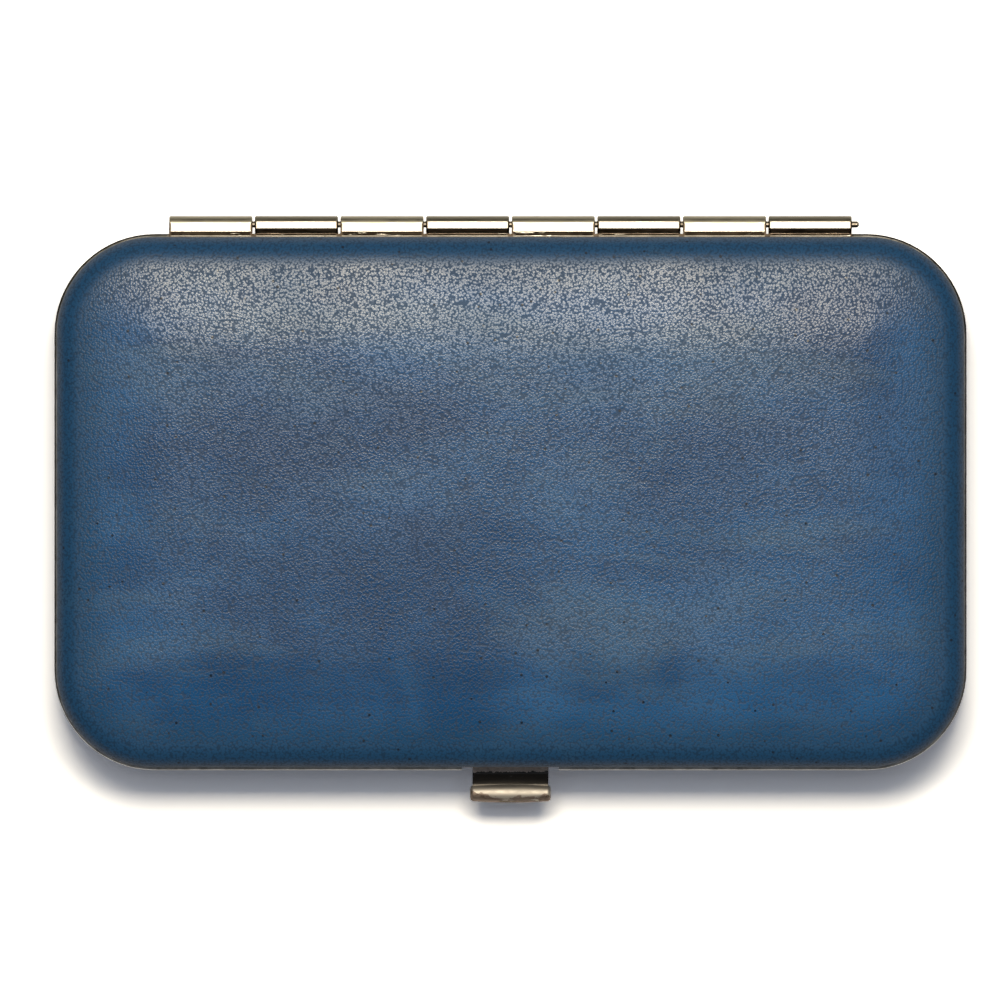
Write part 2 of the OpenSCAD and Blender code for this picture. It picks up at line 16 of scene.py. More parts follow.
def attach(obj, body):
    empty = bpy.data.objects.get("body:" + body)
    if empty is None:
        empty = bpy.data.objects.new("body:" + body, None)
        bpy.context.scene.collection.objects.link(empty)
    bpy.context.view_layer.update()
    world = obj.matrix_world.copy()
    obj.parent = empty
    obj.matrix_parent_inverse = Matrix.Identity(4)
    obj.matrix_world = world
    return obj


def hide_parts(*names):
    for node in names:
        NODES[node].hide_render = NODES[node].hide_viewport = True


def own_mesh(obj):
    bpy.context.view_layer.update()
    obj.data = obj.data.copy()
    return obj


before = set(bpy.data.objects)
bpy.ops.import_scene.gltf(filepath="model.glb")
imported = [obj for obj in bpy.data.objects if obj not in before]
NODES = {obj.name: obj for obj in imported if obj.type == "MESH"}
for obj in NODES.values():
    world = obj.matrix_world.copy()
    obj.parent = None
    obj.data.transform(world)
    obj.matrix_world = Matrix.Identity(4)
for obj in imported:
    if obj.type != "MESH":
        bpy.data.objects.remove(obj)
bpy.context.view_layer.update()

MM = 0.001

# ---- Sizes of the case, as in the solids ----------------------------------------------------

CASE_L, CASE_W, HALF_H = 113.0, 66.0, 10.0     # plan of the leather, and height of one half
CORNER_R, EDGE_R = 12.0, 3.2                   # corners in plan, and the rolled edge of the leather
CROWN_W, CROWN_R = 6.0, 45.0                   # width and radius of the crown inside that edge
LEATHER_T, PADDING_T, LAYER_GAP = 0.9, 0.8, 0.05
CORE_X, CORE_Y = CASE_L / 2 - CORNER_R, CASE_W / 2 - CORNER_R      # axes of the corners
FLANGE_Z = 9.35
WALL_TOP = FLANGE_Z - LAYER_GAP
HINGE_NOTCH_X, HINGE_NOTCH_Z = 42.95, 8.9      # the leather is cut down here for the hinge leaf

# Distances of a section are counted outwards from the corners' axes.
EDGE_X = CORNER_R - EDGE_R
CROWN_X = EDGE_X - CROWN_W
CROWN_TILT = math.asin(CROWN_W / (CROWN_R - EDGE_R))
EDGE_Z = CROWN_R - (CROWN_R - EDGE_R) * math.cos(CROWN_TILT)
FLAT_S = 1.0                       # where the flat middle's grid takes over from the rings

# ---- Sizes of what the lid and the base hold ------------------------------------------------

LEG_OUT = 10.2                     # outer face of the lining's wall
LINING_Z, LINING_T, LINING_TOP, LINING_BEND_R = 3.7, 0.6, 6.3, 1.2
BAND_W, BAND_T, BAND_HALF_L = 12.0, 0.7, 45.7
BAND_Z = LINING_Z + LINING_T + LAYER_GAP
LOOP_COUNT, LOOP_PITCH, LOOP_R, LOOP_LEG = 5, 18.0, 4.0, 1.0
THREAD_R = 0.13
MOULD_R = 0.45                     # rounding of the tray's edges
SPRING_T, SPRING_H, SPRING_HALF_L, SPRING_RISE = 0.2, 1.5, 5.5, 1.75
SPRING_CREST_Y, SPRING_Z, CATCH_TRAVEL = -28.35, 9.45, 0.9
SPRING_R = (SPRING_RISE ** 2 - SPRING_T ** 2 + SPRING_HALF_L ** 2) / (2 * (SPRING_RISE - SPRING_T))
SPRING_AXIS_Y = SPRING_CREST_Y + SPRING_R
SPRING_TURN = math.asin(SPRING_HALF_L / SPRING_R)

# ---- Sizes of the finish --------------------------------------------------------------------

EDGE_FALL, EDGE_FADE = 0.37, 3.2    # sharp part of the padded face's fall at its edges
FACE_FALL, FACE_REACH = 0.38, 11.8  # soft part of it, and how far in it reaches
GRAIN, GRAIN_H = 0.29, 0.023        # pebbles of the leather: spacing, and height over a full cell
KNUCKLE_PITCH = 10.7                # the gaps between knuckles lie at whole multiples of this
HINGE_Y, KNUCKLE_R = 34.7, 1.05     # axis of the hinge, and outer radius of a knuckle
SEAM_Y = 33.26                      # the hinge leaves meet the leather here
SLOT_Y = -33.0                      # the thumb tab comes out of the frames here
NECK_END, LIP_BACK = 33.72, 35.3    # ends of the tab's rubbed neck and of its slope, towards -Y


# ---- Helpers for meshes ---------------------------------------------------------------------

def arc(cx, cz, r, start, end, steps):
    """Points on an arc whose angle is counted from straight down, turning outwards."""
    turns = [start + (end - start) * i / steps for i in range(steps + 1)]
    return [(cx + r * math.sin(t), cz - r * math.cos(t)) for t in turns]


def line(a, b, steps):
    """Points after a on the straight line to b."""
    return [(a[0] + (b[0] - a[0]) * i / steps, a[1] + (b[1] - a[1]) * i / steps)
            for i in range(1, steps + 1)]


def spaced(half, step):
    """Evenly spaced values from -half to half, about a step apart."""
    count = round(2 * half / step)
    return [-half + 2 * half * i / count for i in range(count + 1)]


def stations(xs, ys, arc_steps):
    """Places round the core rectangle, anticlockwise: point, outward direction and grid place."""
    found = []
    nx, ny = len(xs) - 1, len(ys) - 1
    sides = [
        ([(nx, j) for j in range(ny + 1)], 0),
        ([(i, ny) for i in range(nx, -1, -1)], 90),
        ([(0, j) for j in range(ny, -1, -1)], 180),
        ([(i, 0) for i in range(nx + 1)], 270),
    ]
    for cells, angle in sides:
        out = (math.cos(math.radians(angle)), math.sin(math.radians(angle)))
        found += [(xs[i], ys[j], out[0], out[1], (i, j)) for i, j in cells]
        i, j = cells[-1]
        for k in range(1, arc_steps):
            turn = math.radians(angle + 90 * k / arc_steps)
            found.append((xs[i], ys[j], math.cos(turn), math.sin(turn), (i, j)))
    return found


def finish_mesh(bm, name, body, in_lid=False, smooth_angle=40):
    """Makes an object of a bmesh in millimetres, and puts it on its body."""
    for v in bm.verts:
        if in_lid:
            v.co.z = 2 * HALF_H - v.co.z
        v.co *= MM
    bmesh.ops.recalc_face_normals(bm, faces=bm.faces)
    mesh = bpy.data.meshes.new(name)
    bm.to_mesh(mesh)
    bm.free()
    mesh.shade_smooth()
    mesh.set_sharp_from_angle(angle=math.radians(smooth_angle))
    piece = bpy.data.objects.new(name, mesh)
    bpy.context.scene.collection.objects.link(piece)
    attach(piece, body)
    return piece


def skin(bm, rings, capped=True):
    """Faces between neighbouring closed rings of vertices, and over the first and the last."""
    for a, b in zip(rings, rings[1:]):
        for i in range(len(a)):
            j = (i + 1) % len(a)
            bm.faces.new((a[i], a[j], b[j], b[i]))
    if capped:
        bm.faces.new(rings[0])
        bm.faces.new(rings[-1])


def dish(profile, step=1.0, arc_steps=16, shape=None):
    """A closed shell whose section, profile, is swept round the case and filled in its middle.

    The profile is a list of (distance from the corner axes, height), from the outer surface's flat
    middle round the rim to the inner surface's. shape(point, outside) may move a point. The mesh
    carries from_edge, the distance in plan from the leather's outer edge before that move.
    """
    xs, ys = spaced(CORE_X, step), spaced(CORE_Y, step)
    places = stations(xs, ys, arc_steps)
    bm = bmesh.new()
    from_edge = bm.verts.layers.float.new("from_edge")

    def point(x, y, z, s, outside):
        co = Vector((x, y, z))
        if shape:
            co = shape(co, outside)
        v = bm.verts.new(co)
        v[from_edge] = CORNER_R - s
        return v

    outside_count = max(range(len(profile)), key=lambda k: profile[k][0]) + 1
    rings = []
    for k, (s, z) in enumerate(profile):
        ring = [point(x + ox * s, y + oy * s, z, s, k < outside_count)
                for x, y, ox, oy, _ in places]
        rings.append(ring)
    skin(bm, rings, capped=False)
    for ring, (_, z), outside in ((rings[0], profile[0], True), (rings[-1], profile[-1], False)):
        grid = [[point(x, y, z, -min(CORE_X - abs(x), CORE_Y - abs(y)), outside) for y in ys]
                for x in xs]
        for i in range(len(xs) - 1):
            for j in range(len(ys) - 1):
                bm.faces.new((grid[i][j], grid[i + 1][j], grid[i + 1][j + 1], grid[i][j + 1]))
        for k in range(len(ring)):
            n = (k + 1) % len(ring)
            (i, j), (p, q) = places[k][4], places[n][4]
            corners = [ring[k], ring[n], grid[p][q]]
            if (i, j) != (p, q):
                corners.append(grid[i][j])
            bm.faces.new(corners)
    return bm


# ---- Helpers for materials ------------------------------------------------------------------

SOCKETS = {
    "colour": "Base Color", "metal": "Metallic", "roughness": "Roughness",
    "specular": "Specular IOR Level", "normal": "Normal", "sheen": "Sheen Weight",
    "sheen_roughness": "Sheen Roughness", "sheen_tint": "Sheen Tint",
}


class Finish:
    """A node material with one Principled shader, and short ways to add nodes to it."""

    def __init__(self, name, **values):
        self.material = bpy.data.materials.new(name)
        self.material.use_nodes = True
        self.tree = self.material.node_tree
        self.shader = self.tree.nodes["Principled BSDF"]
        self.set(**values)
        place = self.node("ShaderNodeTexCoord")
        self.mm = self.node("ShaderNodeVectorMath", {0: place.outputs["Object"], 3: 1 / MM},
                            operation="SCALE").outputs[0]

    def set(self, **values):
        """Sets or links the shader's sockets."""
        for key, value in values.items():
            self.put(self.shader.inputs[SOCKETS[key]], value)

    def put(self, socket, value):
        """Links a socket to another, or sets its value."""
        if isinstance(value, bpy.types.NodeSocket):
            self.tree.links.new(value, socket)
        else:
            socket.default_value = value

    def node(self, kind, inputs=None, **settings):
        """Adds a node with its settings and inputs."""
        made = self.tree.nodes.new(kind)
        for key, value in settings.items():
            setattr(made, key, value)
        for key, value in (inputs or {}).items():
            self.put(made.inputs[key], value)
        return made

    def stretched(self, sx, sy, sz):
        """The coordinates in millimetres, each times its own factor."""
        return self.node("ShaderNodeVectorMath", {0: self.mm, 1: (sx, sy, sz)},
                         operation="MULTIPLY").outputs[0]

    def noise(self, size, detail=2.0, rough=0.5, distortion=0.0, vector=None):
        """Noise from 0 to 1 whose features are about size millimetres wide."""
        inputs = {"Vector": vector or self.mm, "Scale": 1 / size, "Detail": detail,
                  "Roughness": rough, "Distortion": distortion}
        return self.node("ShaderNodeTexNoise", inputs).outputs["Fac"]

    def cells(self, size, vector=None):
        """Distance from the middles of scattered cells about size millimetres wide, in sizes."""
        inputs = {"Vector": vector or self.mm, "Scale": 1 / size}
        return self.node("ShaderNodeTexVoronoi", inputs).outputs["Distance"]

    def ramp(self, value, low, high, out_low=0.0, out_high=1.0, smooth=True):
        """Maps low..high onto out_low..out_high and clamps it."""
        inputs = {0: value, 1: low, 2: high, 3: out_low, 4: out_high}
        kind = "SMOOTHSTEP" if smooth else "LINEAR"
        return self.node("ShaderNodeMapRange", inputs, interpolation_type=kind).outputs[0]

    def maths(self, operation, a, b=0.0):
        """One step of arithmetic."""
        return self.node("ShaderNodeMath", {0: a, 1: b}, operation=operation).outputs[0]

    def mix(self, share, a, b):
        """A colour between a and b."""
        made = self.node("ShaderNodeMix", data_type="RGBA")
        for key, value in ((0, share), (6, a), (7, b)):
            self.put(made.inputs[key], value)
        return made.outputs[2]

    def bump(self, height, depth, strength=1.0, under=None):
        """A bump whose full height is depth millimetres."""
        inputs = {"Height": height, "Distance": depth * MM, "Strength": strength}
        if under is not None:
            inputs["Normal"] = under
        return self.node("ShaderNodeBump", inputs).outputs[0]

    def rounded(self, radius):
        """Normals that round off the sharp edges by radius millimetres."""
        return self.node("ShaderNodeBevel", {"Radius": radius * MM}, samples=6).outputs[0]

    def axis(self, index):
        """One coordinate in millimetres: 0, 1 or 2 for x, y or z."""
        return self.node("ShaderNodeSeparateXYZ", {0: self.mm}).outputs[index]

    def from_axes(self):
        """Distance in plan from the rectangle between the axes of the case's four corners."""
        beyond = self.node("ShaderNodeVectorMath", {0: self.mm}, operation="ABSOLUTE").outputs[0]
        for step, vector in (("SUBTRACT", (CORE_X, CORE_Y, 0)), ("MAXIMUM", (0, 0, 0)),
                             ("MULTIPLY", (1, 1, 0))):
            beyond = self.node("ShaderNodeVectorMath", {0: beyond, 1: vector},
                               operation=step).outputs[0]
        return self.node("ShaderNodeVectorMath", {0: beyond}, operation="LENGTH").outputs["Value"]

    def between(self, value, low, high, soft):
        """1 from low to high and 0 outside, with edges soft wide."""
        rise = self.ramp(value, low - soft / 2, low + soft / 2)
        fall = self.ramp(value, high - soft / 2, high + soft / 2, 1.0, 0.0)
        return self.maths("MULTIPLY", rise, fall)

    def attribute(self, name):
        """A number that the mesh carries."""
        return self.node("ShaderNodeAttribute", attribute_name=name).outputs["Fac"]


def rgb(red, green, blue):
    """A colour from linear values."""
    return (red, green, blue, 1.0)


def scaled(colour, factor):
    """A colour made lighter or darker."""
    return rgb(*(part * factor for part in colour[:3]))


# ---- Materials ------------------------------------------------------------------------------

NICKEL_TINT = rgb(0.72, 0.69, 0.64)
NICKEL_ROUGH = 0.13


def pebbles(f):
    """Height of the leather's pebbled grain, up to 1 on the domes, which a wobble makes uneven."""
    wobbles_per_mm, wobble_mm = 1.6, 0.14
    wobble = f.node("ShaderNodeTexNoise", {"Vector": f.mm, "Scale": wobbles_per_mm}).outputs["Color"]
    wobble = f.node("ShaderNodeVectorMath", {0: wobble, 3: wobble_mm}, operation="SCALE").outputs[0]
    place = f.node("ShaderNodeVectorMath", {0: f.mm, 1: wobble}, operation="ADD").outputs[0]
    reach = f.cells(GRAIN, place)
    return f.maths("SUBTRACT", 1.0, f.maths("MULTIPLY", reach, reach))


def leather_finish():
    """Dyed blue leather: cloudy colour, a fine pebbled grain, and painted shade on the rolled edge, in
    creases and pores.
    """
    f = Finish("leather_blue", roughness=0.32, specular=0.30)
    deep, bright = rgb(0.003, 0.061, 0.208), rgb(0.021, 0.128, 0.362)
    greyed, wear_and_highlight = rgb(0.076, 0.168, 0.305), rgb(0.05, 0.12, 0.20)
    side, rim = rgb(0.011, 0.074, 0.200), rgb(0.048, 0.102, 0.205)
    crease_shade, pore_shade = rgb(0.006, 0.022, 0.055), rgb(0.006, 0.018, 0.045)

    clouds = f.noise(30, 3, 0.5, 0.4)
    streaks = f.noise(1, 4, 0.55, 0.3, f.stretched(1 / 34, 1 / 11, 1 / 20))
    blotches = f.noise(9, 4, 0.6, 0.8)
    tone = f.maths("MULTIPLY", clouds, 0.45)
    for part, share in ((streaks, 0.35), (blotches, 0.20)):
        tone = f.maths("ADD", tone, f.maths("MULTIPLY", part, share))
    colour = f.mix(f.ramp(tone, 0.39, 0.62), deep, bright)
    bloom = f.noise(1, 5, 0.6, 0.5, f.stretched(1 / 40, 1 / 13, 1 / 20))
    colour = f.mix(f.ramp(bloom, 0.46, 0.66, 0, 0.42), colour, greyed)
    inset = f.attribute("from_edge")
    # Painted shade: a darker, more saturated band along the rolled edge, fading out 8.5 mm in.
    colour = f.mix(f.ramp(inset, 1.6, 8.5), side, colour)
    colour = f.mix(f.ramp(inset, 0.1, 1.2), rim, colour)

    domes = pebbles(f)
    creases = f.ramp(domes, 0.45, 0.85)
    # Painted shade in the grain's creases between the domes.
    colour = f.mix(f.ramp(creases, 0, 1, 0.50, 1.0), crease_shade, colour)
    # Painted shade: dark dots for the pores.
    pores = f.ramp(f.cells(2.1), 0.06, 0.11)
    colour = f.mix(pores, pore_shade, colour)
    wear = f.ramp(f.noise(5, 5, 0.7), 0.52, 0.75, 0, 0.25)
    colour = f.mix(f.maths("MULTIPLY", wear, creases), colour, wear_and_highlight)

    polish = f.ramp(f.noise(14, 3, 0.6), 0.3, 0.7, 0.18, 0.25)
    dull_valleys = f.ramp(domes, 0.55, 0.86, 0.27, 0.0)
    dull_sides = f.ramp(inset, 1.2, 4.3, 0.42, 0.0)
    rough = f.maths("ADD", polish, f.maths("MAXIMUM", dull_valleys, dull_sides))
    dimpled = f.bump(f.noise(8, 2, 0.5), 0.05)
    pebbled = f.bump(domes, GRAIN_H, 1.0, dimpled)
    f.set(colour=colour, roughness=rough, normal=f.bump(f.noise(0.22, 2, 0.6), 0.006, 1.0, pebbled))
    return f.material


def plated_finish(name, tint=NICKEL_TINT, roughness=NICKEL_ROUGH, dull_and_painted_light=None, wear_and_highlight=None):
    """Plated metal with smudges, hairline scratches and tiny pits, and rounded edges.

    A callback for dulled metal may give its share, its colour, which holds painted light and shade,
    and its roughness, and a callback for wear a height in millimetres by which wear has changed the
    surface.
    """
    f = Finish(name, metal=1.0, roughness=roughness)
    stained, in_pits = rgb(tint[0] * 0.62, tint[1] * 0.62, tint[2] * 0.52), rgb(0.16, 0.14, 0.12)
    tarnish = f.ramp(f.noise(5.5, 5, 0.65), 0.45, 0.75, 0.0, 0.55)
    pits = f.ramp(f.cells(0.9), 0.05, 0.12)
    colour = f.mix(pits, in_pits, f.mix(tarnish, tint, stained))
    smudge = f.noise(2.4, 4, 0.6, 0.5)
    rough = f.ramp(smudge, 0.3, 0.75, roughness * 0.7, roughness * 1.7)
    if dull_and_painted_light:
        # The colour of that share holds painted light and shade on the metal.
        share, painted_colour, dull_rough = dull_and_painted_light(f)
        colour = f.mix(share, colour, painted_colour)
        gained = f.maths("MULTIPLY", share, f.maths("SUBTRACT", dull_rough, roughness))
        rough = f.maths("ADD", rough, gained)
    surface = f.rounded(0.07)
    if wear_and_highlight:
        surface = f.bump(wear_and_highlight(f), 1.0, 1.0, surface)
    rolled = f.bump(f.noise(3.2, 2, 0.5), 0.012, 1.0, surface)
    hairlines = f.noise(1, 3, 0.7, 0.0, f.stretched(0.35, 9.0, 9.0))
    scratched = f.bump(hairlines, 0.0035, 0.3, rolled)
    f.set(colour=colour, roughness=rough, normal=f.bump(pits, 0.01, 0.6, scratched))
    return f.material


def knuckle_dull_and_painted_shade(low, high, back, covered, back_shade_tone, front_shade_tone):
    """Painted dark reflection on the knuckles behind back along Y, painted shade on them from low to
    high and at their ends, a satin crest between the two, and painted shade along the leather. A
    larger covered leaves fewer breaks in the shade in front, and the tones are how light the painted
    back and front are."""
    # Colours of painted light: a dark olive reflection behind, brown shade in front, near-black shade
    # at the knuckles' ends and dark shade along the seam with the leather.
    painted_back_shade = scaled(rgb(0.36, 0.345, 0.285), back_shade_tone)
    brown, gap_shade = scaled(rgb(0.42, 0.33, 0.25), front_shade_tone), rgb(0.05, 0.038, 0.028)
    deep_seam_shade, seam_shade = rgb(0.026, 0.022, 0.020), rgb(0.062, 0.057, 0.052)
    soft, seam_soft = 0.06, 0.08

    def dull_and_painted_light(f):
        y = f.axis(1)
        behind = f.ramp(y, back - soft, back + soft)
        seam = f.ramp(y, SEAM_Y - seam_soft, SEAM_Y + seam_soft, 1.0, 0.0)
        crest = f.between(y, high + 0.05, back, 0.1)
        streaks = f.noise(1, 4, 0.65, 0.4, f.stretched(0.22, 4.5, 4.5))
        patches = f.ramp(streaks, 0.5 - covered, 0.62 - covered)
        # Painted shade on the fronts, broken by streaks, and at the ends, by the gaps between
        # knuckles.
        painted_front_shade = f.maths("MULTIPLY", f.between(y, low, high, 0.2), patches)
        from_gap = f.maths("PINGPONG", f.maths("ADD", f.axis(0), 4 * KNUCKLE_PITCH),
                           KNUCKLE_PITCH / 2)
        off_ends = f.ramp(from_gap, 0.30, 0.52)
        painted_front_shade = f.maths("MAXIMUM", painted_front_shade, f.maths("SUBTRACT", 1.0, off_ends))

        mottled = f.mix(f.ramp(streaks, 0.35, 0.65), scaled(brown, 0.3), brown)
        mottled = f.mix(off_ends, gap_shade, mottled)
        mottled_back_shade = f.mix(streaks, scaled(painted_back_shade, 0.7), painted_back_shade)
        colour = f.mix(behind, mottled, mottled_back_shade)
        colour = f.mix(seam, colour, f.mix(f.ramp(streaks, 0.4, 0.6), deep_seam_shade, seam_shade))
        painted_dark = f.maths("MAXIMUM", behind, f.maths("MAXIMUM", painted_front_shade, seam))
        colour = f.mix(painted_dark, NICKEL_TINT, colour)
        return f.maths("MAXIMUM", painted_dark, crest), colour, 0.42
    return dull_and_painted_light


def rubbed_crest(f):
    """The crest of a round knuckle, worn to a narrow facet that leans back a little."""
    before, behind, lean = -0.48, 0.30, 0.09
    across = f.maths("SUBTRACT", f.axis(1), HINGE_Y)
    across = f.maths("MAXIMUM", f.maths("MINIMUM", across, behind), before)
    crown = f.maths("MULTIPLY", f.maths("MULTIPLY", across, across), 0.5 / KNUCKLE_R)
    return f.maths("SUBTRACT", crown, f.maths("MULTIPLY", across, lean))


def bead_dull_and_painted_light(f):
    """The bead of a rim frame, outside the leather, is dulled and carries painted reflections: dark at
    the hinge, slate grey along the sides and lighter at the front. A painted highlight runs along its
    inner edge, and painted shade lies next to the hinge leaves."""
    out, y = f.from_axes(), f.axis(1)
    # Light grey of the painted highlight along the inner edge.
    wear_and_highlight = rgb(0.34, 0.35, 0.37)
    mottled = f.ramp(f.noise(1.6, 4, 0.6, 0.3), 0.3, 0.7)
    dark = f.mix(mottled, rgb(0.030, 0.031, 0.030), rgb(0.085, 0.085, 0.083))
    painted_light_front = f.mix(mottled, wear_and_highlight, rgb(0.62, 0.64, 0.67))
    slate = f.mix(mottled, rgb(0.10, 0.105, 0.11), rgb(0.21, 0.22, 0.24))
    # Painted reflection: darker towards the hinge, slate along the sides, lighter towards the front.
    colour = f.mix(f.ramp(y, CORE_Y - 4.0, CORE_Y + 5.0), slate, dark)
    colour = f.mix(f.ramp(y, -CORE_Y, -CORE_Y - 9.0), colour, painted_light_front)
    # Painted highlight along the inner edge.
    colour = f.mix(f.ramp(out, CORNER_R + 0.04, CORNER_R + 0.12, 1.0, 0.0), colour, wear_and_highlight)
    # Painted shade, streaked, next to the hinge leaves.
    streaks = f.ramp(f.noise(1, 4, 0.65, 0.4, f.stretched(0.22, 3.0, 3.0)), 0.40, 0.62)
    painted_dark = f.mix(streaks, rgb(0.020, 0.017, 0.015), rgb(0.16, 0.148, 0.136))
    behind = f.ramp(y, CORE_Y + 11.0, CORE_Y + 11.6)
    beside = f.ramp(f.maths("ABSOLUTE", f.axis(0)), HINGE_NOTCH_X - 0.1, HINGE_NOTCH_X, 1.0, 0.0)
    colour = f.mix(f.maths("MULTIPLY", behind, beside), colour, painted_dark)
    return f.ramp(out, CORNER_R - 0.1, CORNER_R), colour, 0.36


def catch_dull_and_painted_light(f):
    """The thumb tab: a painted highlight on the neck at the slot, painted dark reflection on the
    slope, and a satin lip with painted brown shade along its front, reaching further back at its left
    and right end."""
    x, y = f.axis(0), f.axis(1)
    ragged = f.noise(0.5, 4, 0.7)
    neck_end = f.maths("ADD", y, f.ramp(ragged, 0.3, 0.7, -0.16, 0.16, False))
    neck = f.ramp(neck_end, -NECK_END - 0.05, -NECK_END + 0.05)
    specks = f.ramp(ragged, 0.66, 0.74, 0, 0.5)
    # Painted dark reflection on the slope, with light specks, and a painted highlight on the neck.
    black = f.mix(specks, rgb(0.062, 0.062, 0.064), rgb(0.50, 0.50, 0.55))
    wear_and_highlight = f.mix(ragged, rgb(0.52, 0.46, 0.44), rgb(1.0, 0.94, 0.91))
    colour = f.mix(neck, black, wear_and_highlight)

    # The painted brown shade starts before this line along Y: far back at the left, and at the right
    # again.
    patches = f.noise(1, 4, 0.65, 0.8, f.stretched(0.6, 1.4, 1.4))
    start = f.ramp(x, -5.2, -1.2, -35.85, -37.05, False)
    start = f.maths("ADD", start, f.ramp(x, 3.3, 4.4, 0.0, 0.6))
    start = f.maths("ADD", start, f.ramp(patches, 0.3, 0.7, -0.5, 0.5, False))
    lip_front_shade = f.ramp(f.maths("SUBTRACT", start, y), -0.05, 0.16)
    # Painted brown shade on the lip's front.
    brown = f.mix(f.ramp(patches, 0.35, 0.6), rgb(0.12, 0.09, 0.07), rgb(0.36, 0.30, 0.27))
    satin = f.mix(lip_front_shade, rgb(0.64, 0.61, 0.57), brown)
    lip = f.ramp(y, -LIP_BACK - 0.08, -LIP_BACK + 0.08, 1.0, 0.0)
    colour = f.mix(lip, colour, satin)

    outside = f.ramp(y, SLOT_Y - 0.1, SLOT_Y + 0.1, 1.0, 0.0)
    rough = f.maths("ADD", 0.42, f.maths("MAXIMUM", f.maths("MULTIPLY", neck, 0.3),
                                         f.maths("MULTIPLY", lip, 0.16)))
    return outside, colour, rough


def shell_finish():
    """Grey sheet steel as it comes from the press, with draw marks and a thin oil film."""
    f = Finish("shell_sheet_steel", metal=1.0)
    marks = f.noise(1, 4, 0.65, 0.2, f.stretched(0.05, 2.2, 2.2))
    film = f.noise(12, 4, 0.6, 0.6)
    colour = f.mix(film, rgb(0.30, 0.31, 0.33), rgb(0.46, 0.46, 0.46))
    f.set(colour=colour, roughness=f.ramp(marks, 0.25, 0.75, 0.30, 0.52),
          normal=f.bump(marks, 0.006))
    return f.material


def foam_finish():
    """Open-celled cream foam."""
    f = Finish("padding_foam", roughness=0.92, specular=0.2)
    pores = f.cells(0.5)
    shade = f.noise(9, 3, 0.5)
    colour = f.mix(shade, rgb(0.66, 0.62, 0.50), rgb(0.78, 0.75, 0.66))
    # Painted shade in the pores.
    colour = f.mix(f.ramp(pores, 0.12, 0.4), rgb(0.34, 0.30, 0.22), colour)
    f.set(colour=colour, normal=f.bump(pores, 0.18))
    return f.material


def board_finish():
    """Grey-brown pressed board with fibres and flecks."""
    f = Finish("pressed_board", roughness=0.85, specular=0.25)
    fibres = f.noise(1, 5, 0.7, 1.2, f.stretched(0.7, 2.6, 1.5))
    flecks = f.ramp(f.cells(1.6), 0.10, 0.2)
    colour = f.mix(fibres, rgb(0.22, 0.19, 0.15), rgb(0.42, 0.37, 0.31))
    colour = f.mix(flecks, rgb(0.12, 0.09, 0.07), colour)
    f.set(colour=colour, normal=f.bump(fibres, 0.05))
    return f.material


def velour_finish(name, dark, light, edge=None):
    """Short black pile: a sheen, brushed patches and a fine fibre grain. edge rounds sharp edges."""
    f = Finish(name, roughness=0.95, specular=0.12, sheen=0.35, sheen_roughness=0.45,
               sheen_tint=rgb(0.5, 0.55, 0.65))
    shade_between_fibres, lint_tone = rgb(0.003, 0.003, 0.005), rgb(0.10, 0.10, 0.11)
    brushed = f.noise(1, 3, 0.55, 0.7, f.stretched(1 / 16, 1 / 9, 1 / 9))
    fibres = f.noise(0.26, 3, 0.75)
    lint = f.ramp(f.noise(0.7, 4, 0.8), 0.66, 0.76, 0, 0.35)
    colour = f.mix(f.ramp(brushed, 0.35, 0.65), dark, light)
    # Painted shade between the fibres.
    colour = f.mix(f.ramp(fibres, 0.38, 0.62, 0.15, 1.0), shade_between_fibres, colour)
    colour = f.mix(lint, colour, lint_tone)
    nap = f.bump(brushed, 0.5, 0.5, f.rounded(edge) if edge else None)
    f.set(colour=colour, normal=f.bump(fibres, 0.2, 1.0, nap))
    return f.material


def elastic_finish():
    """Black woven elastic: lengthways rubber ribs crossed by a tight weft."""
    f = Finish("woven_elastic", roughness=0.75, specular=0.3, sheen=0.2, sheen_roughness=0.5)
    along, across = f.attribute("along"), f.attribute("across")
    rib_pitch, weft_pitch = 0.75, 0.34
    ribs = f.maths("SINE", f.maths("MULTIPLY", across, 2 * math.pi / rib_pitch))
    weft = f.maths("SINE", f.maths("MULTIPLY", along, 2 * math.pi / weft_pitch))
    weave = f.maths("MULTIPLY", ribs, weft)
    height = f.maths("ADD", f.maths("MULTIPLY", ribs, 0.6), f.maths("MULTIPLY", weave, 0.4))
    fuzz = f.noise(0.2, 3, 0.6)
    # Painted shade: the weave's hollows darker than its ribs.
    shade = f.ramp(f.maths("ADD", height, f.maths("MULTIPLY", fuzz, 0.7)), -0.8, 1.4)
    f.set(colour=f.mix(shade, rgb(0.004, 0.004, 0.005), rgb(0.035, 0.035, 0.040)),
          roughness=f.ramp(fuzz, 0.3, 0.7, 0.62, 0.85), normal=f.bump(height, 0.07))
    return f.material


def thread_finish():
    """Grey polyester thread with a twist."""
    f = Finish("thread", roughness=0.5, sheen=0.3)
    twist = f.noise(1, 1, 0.5, 0.0, f.stretched(6, 9, 6))
    f.set(colour=f.mix(twist, rgb(0.10, 0.105, 0.12), rgb(0.26, 0.27, 0.30)),
          normal=f.bump(twist, 0.04))
    return f.material


# ---- Soft pieces ----------------------------------------------------------------------------

def leather_profile():
    """Section of a leather cover: flat middle, crown, rolled edge, wall, rim, and back inside."""
    def surface(inset, crown_rows, edge_rows, wall_rows):
        crown = arc(CROWN_X, CROWN_R, CROWN_R - inset, 0, CROWN_TILT, crown_rows)
        rolled = arc(EDGE_X, EDGE_Z, EDGE_R - inset, CROWN_TILT, math.pi / 2, edge_rows)
        wall = line(rolled[-1], (CORNER_R - inset, WALL_TOP), wall_rows)
        return [(FLAT_S, inset)] + crown + rolled[1:] + wall
    return surface(0, 8, 14, 7) + surface(LEATHER_T, 3, 8, 3)[::-1]


